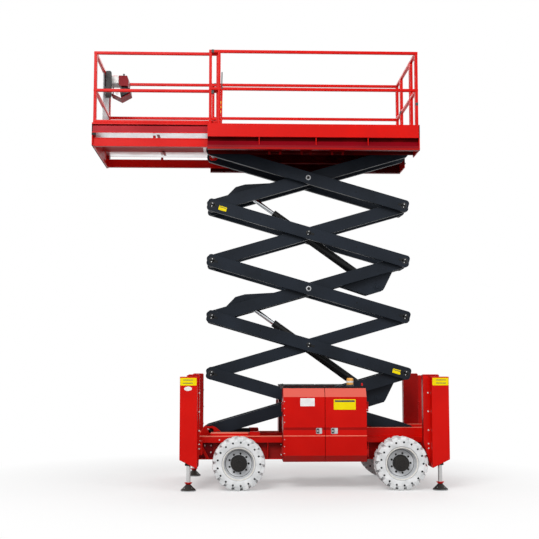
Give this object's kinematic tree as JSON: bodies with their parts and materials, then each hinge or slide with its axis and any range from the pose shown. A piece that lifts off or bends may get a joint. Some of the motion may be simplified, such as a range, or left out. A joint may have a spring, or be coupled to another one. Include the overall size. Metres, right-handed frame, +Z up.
{
  "type": "self-propelled scissor lift",
  "caption": "Rough-terrain scissor lift with a coupled stack of folding arms, railed deck with sliding extension, corner outriggers, side cabinets and solid tyres.",
  "frame": {"origin": "on the ground under the middle of the machine's overall length and width", "axes": "+Z up, +X towards the entry gate and away from the extension deck, -Y towards the machine's left side with the beacon"},
  "size_m": [4.476, 1.88, 5.5627],
  "materials": {
    "red_paint": "gloss enamel",
    "dark_red_paint": "gloss enamel",
    "arm_paint": "satin enamel",
    "black_paint": "satin enamel",
    "chrome_rod": "polished",
    "chrome_leg": "polished",
    "engine_metal": "painted casting",
    "rim_paint": "satin",
    "pale_tyre": "matt, non-marking",
    "amber_lens": "clear tinted",
    "black_plastic": "moulded"
  },
  "bodies": {
    "chassis": {"chassis": "red_paint", "tower_front_left": "red_paint", "tower_front_right": "red_paint", "tower_rear_left": "red_paint", "tower_rear_right": "red_paint", "front_axle": "red_paint", "rear_axle": "red_paint", "cabinet_left": "dark_red_paint", "cabinet_right": "dark_red_paint", "engine_block": "engine_metal", "beacon": "amber_lens", "rear_ladder": "dark_red_paint"},
    "outrigger_front_left": {"outrigger_front_left": "chrome_leg"},
    "wheel_front_left": {"tyre_front_left": "pale_tyre", "rim_front_left": "rim_paint"},
    "cabinet_door_front_left": {"cabinet_door_front_left": "red_paint"},
    "outrigger_front_right": {"outrigger_front_right": "chrome_leg"},
    "wheel_front_right": {"tyre_front_right": "pale_tyre", "rim_front_right": "rim_paint"},
    "cabinet_door_front_right": {"cabinet_door_front_right": "red_paint"},
    "outrigger_rear_left": {"outrigger_rear_left": "chrome_leg"},
    "wheel_rear_left": {"tyre_rear_left": "pale_tyre", "rim_rear_left": "rim_paint"},
    "cabinet_door_rear_left": {"cabinet_door_rear_left": "red_paint"},
    "outrigger_rear_right": {"outrigger_rear_right": "chrome_leg"},
    "wheel_rear_right": {"tyre_rear_right": "pale_tyre", "rim_rear_right": "rim_paint"},
    "cabinet_door_rear_right": {"cabinet_door_rear_right": "red_paint"},
    "knuckle_left": {"knuckle_left": "black_paint"},
    "knuckle_right": {"knuckle_right": "black_paint"},
    "inner_arms_1": {"inner_arms_1": "arm_paint"},
    "outer_arms_1": {"outer_arms_1": "arm_paint"},
    "inner_arms_2": {"inner_arms_2": "arm_paint"},
    "outer_arms_2": {"outer_arms_2": "arm_paint"},
    "inner_arms_3": {"inner_arms_3": "arm_paint"},
    "outer_arms_3": {"outer_arms_3": "arm_paint"},
    "inner_arms_4": {"inner_arms_4": "arm_paint"},
    "outer_arms_4": {"outer_arms_4": "arm_paint"},
    "inner_arms_5": {"inner_arms_5": "arm_paint"},
    "outer_arms_5": {"outer_arms_5": "arm_paint"},
    "lower_barrel": {"lower_cylinder_barrel": "black_paint"},
    "lower_rod": {"lower_cylinder_rod": "chrome_rod"},
    "upper_barrel": {"upper_cylinder_barrel": "black_paint"},
    "upper_rod": {"upper_cylinder_rod": "chrome_rod"},
    "platform": {"main_deck": "red_paint", "deck_rail_left": "red_paint", "deck_rail_right": "red_paint", "rear_rail_left": "red_paint", "rear_rail_right": "red_paint"},
    "entry_gate": {"entry_gate": "red_paint"},
    "extension": {"extension_deck": "red_paint", "extension_rail_left": "red_paint", "extension_rail_right": "red_paint", "extension_rail_front": "red_paint", "control_box": "red_paint", "document_holder": "black_plastic"}
  },
  "joints": [
    {"name": "scissor_fold", "type": "hinge", "parent": "chassis", "child": "inner_arms_1", "pos_m": [-0.714, 0, 0.69], "axis": [0, -1, 0], "range_deg": [-11, 31.8]},
    {"name": "outer_arms_2_pivot", "type": "hinge", "parent": "inner_arms_1", "child": "outer_arms_2", "pos_m": [1.82118, 0, 1.42654], "axis": [0, -1, 0], "range_deg": [-63.8, 22.2]},
    {"name": "inner_arms_3_pivot", "type": "hinge", "parent": "outer_arms_2", "child": "inner_arms_3", "pos_m": [-0.714, 0, 2.16307], "axis": [0, -1, 0], "range_deg": [-22.2, 63.8]},
    {"name": "outer_arms_4_pivot", "type": "hinge", "parent": "inner_arms_3", "child": "outer_arms_4", "pos_m": [1.82118, 0, 2.89961], "axis": [0, -1, 0], "range_deg": [-63.8, 22.2]},
    {"name": "inner_arms_5_pivot", "type": "hinge", "parent": "outer_arms_4", "child": "inner_arms_5", "pos_m": [-0.714, 0, 3.63615], "axis": [0, -1, 0], "range_deg": [-22.2, 63.8]},
    {"name": "outer_arms_5_pivot", "type": "hinge", "parent": "inner_arms_5", "child": "outer_arms_5", "pos_m": [0.55359, 0, 4.00441], "axis": [0, -1, 0], "range_deg": [-63.8, 22.2]},
    {"name": "platform_pivot", "type": "hinge", "parent": "outer_arms_5", "child": "platform", "pos_m": [-0.714, 0, 4.37268], "axis": [0, -1, 0], "range_deg": [-11.2, 32]},
    {"name": "outer_arms_1_pivot", "type": "hinge", "parent": "inner_arms_1", "child": "outer_arms_1", "pos_m": [0.55359, 0, 1.05827], "axis": [0, -1, 0], "range_deg": [-63.8, 22.2]},
    {"name": "inner_arms_2_pivot", "type": "hinge", "parent": "outer_arms_2", "child": "inner_arms_2", "pos_m": [0.55359, 0, 1.7948], "axis": [0, -1, 0], "range_deg": [-22.2, 63.8]},
    {"name": "outer_arms_3_pivot", "type": "hinge", "parent": "inner_arms_3", "child": "outer_arms_3", "pos_m": [0.55359, 0, 2.53134], "axis": [0, -1, 0], "range_deg": [-63.8, 22.2]},
    {"name": "inner_arms_4_pivot", "type": "hinge", "parent": "outer_arms_4", "child": "inner_arms_4", "pos_m": [0.55359, 0, 3.26788], "axis": [0, -1, 0], "range_deg": [-22.2, 63.8]},
    {"name": "lower_barrel_pivot", "type": "hinge", "parent": "inner_arms_1", "child": "lower_barrel", "pos_m": [1.47923, 0, 1.0981], "axis": [0, -1, 0], "range_deg": [-62.9, 21.9]},
    {"name": "lower_rod_slide", "type": "slide", "parent": "lower_barrel", "child": "lower_rod", "axis": [-0.8119, 0, 0.5838], "range_m": [-0.386, 1.11]},
    {"name": "upper_barrel_pivot", "type": "hinge", "parent": "inner_arms_3", "child": "upper_barrel", "pos_m": [1.47923, 0, 2.57117], "axis": [0, -1, 0], "range_deg": [-62.9, 21.9]},
    {"name": "upper_rod_slide", "type": "slide", "parent": "upper_barrel", "child": "upper_rod", "axis": [-0.8119, 0, 0.5838], "range_m": [-0.386, 1.11]},
    {"name": "steering_left", "type": "hinge", "parent": "chassis", "child": "knuckle_left", "pos_m": [-0.357, -0.53, 0.325], "axis": [0, 0, 1], "range_deg": [-30, 30]},
    {"name": "steering_right", "type": "hinge", "parent": "chassis", "child": "knuckle_right", "pos_m": [-0.357, 0.53, 0.325], "axis": [0, 0, 1], "range_deg": [-30, 30]},
    {"name": "wheel_front_left_axle", "type": "hinge", "parent": "knuckle_left", "child": "wheel_front_left", "pos_m": [-0.357, -0.76, 0.325], "axis": [0, 1, 0], "continuous": true},
    {"name": "wheel_front_right_axle", "type": "hinge", "parent": "knuckle_right", "child": "wheel_front_right", "pos_m": [-0.357, 0.76, 0.325], "axis": [0, 1, 0], "continuous": true},
    {"name": "wheel_rear_left_axle", "type": "hinge", "parent": "chassis", "child": "wheel_rear_left", "pos_m": [1.653, -0.76, 0.325], "axis": [0, 1, 0], "continuous": true},
    {"name": "wheel_rear_right_axle", "type": "hinge", "parent": "chassis", "child": "wheel_rear_right", "pos_m": [1.653, 0.76, 0.325], "axis": [0, 1, 0], "continuous": true},
    {"name": "outrigger_front_left_slide", "type": "slide", "parent": "chassis", "child": "outrigger_front_left", "axis": [0, 0, 1], "range_m": [-0.12, 0.18]},
    {"name": "outrigger_front_right_slide", "type": "slide", "parent": "chassis", "child": "outrigger_front_right", "axis": [0, 0, 1], "range_m": [-0.12, 0.18]},
    {"name": "outrigger_rear_left_slide", "type": "slide", "parent": "chassis", "child": "outrigger_rear_left", "axis": [0, 0, 1], "range_m": [-0.12, 0.18]},
    {"name": "outrigger_rear_right_slide", "type": "slide", "parent": "chassis", "child": "outrigger_rear_right", "axis": [0, 0, 1], "range_m": [-0.12, 0.18]},
    {"name": "cabinet_door_front_left_hinge", "type": "hinge", "parent": "chassis", "child": "cabinet_door_front_left", "pos_m": [0.178, -0.85, 0.8], "axis": [0, 0, -1], "range_deg": [0, 100]},
    {"name": "cabinet_door_rear_left_hinge", "type": "hinge", "parent": "chassis", "child": "cabinet_door_rear_left", "pos_m": [1.239, -0.85, 0.8], "axis": [0, 0, 1], "range_deg": [0, 100]},
    {"name": "cabinet_door_front_right_hinge", "type": "hinge", "parent": "chassis", "child": "cabinet_door_front_right", "pos_m": [0.178, 0.85, 0.8], "axis": [0, 0, 1], "range_deg": [0, 100]},
    {"name": "cabinet_door_rear_right_hinge", "type": "hinge", "parent": "chassis", "child": "cabinet_door_rear_right", "pos_m": [1.239, 0.85, 0.8], "axis": [0, 0, -1], "range_deg": [0, 100]},
    {"name": "entry_gate_hinge", "type": "hinge", "parent": "platform", "child": "entry_gate", "pos_m": [1.9167, -0.374, 5.04768], "axis": [0, 0, 1], "range_deg": [0, 95]},
    {"name": "extension_slide", "type": "slide", "parent": "platform", "child": "extension", "axis": [1, 0, 0], "range_m": [0, 1.4]}
  ],
  "couplings": [
    {"joint": "outer_arms_2_pivot", "follows": "scissor_fold", "ratio": -2},
    {"joint": "inner_arms_3_pivot", "follows": "scissor_fold", "ratio": 2},
    {"joint": "outer_arms_4_pivot", "follows": "scissor_fold", "ratio": -2},
    {"joint": "inner_arms_5_pivot", "follows": "scissor_fold", "ratio": 2},
    {"joint": "outer_arms_5_pivot", "follows": "scissor_fold", "ratio": -2},
    {"joint": "platform_pivot", "follows": "scissor_fold", "ratio": 1},
    {"joint": "outer_arms_1_pivot", "follows": "scissor_fold", "ratio": -2},
    {"joint": "inner_arms_2_pivot", "follows": "scissor_fold", "ratio": 2},
    {"joint": "outer_arms_3_pivot", "follows": "scissor_fold", "ratio": -2},
    {"joint": "inner_arms_4_pivot", "follows": "scissor_fold", "ratio": 2},
    {"joint": "lower_barrel_pivot", "follows": "scissor_fold", "ratio": -1.9705},
    {"joint": "lower_rod_slide", "follows": "scissor_fold", "m_per_rad": 1.9954},
    {"joint": "upper_barrel_pivot", "follows": "scissor_fold", "ratio": -1.9705},
    {"joint": "upper_rod_slide", "follows": "scissor_fold", "m_per_rad": 1.9954},
    {"joint": "steering_right", "follows": "steering_left", "ratio": 1}
  ]
}
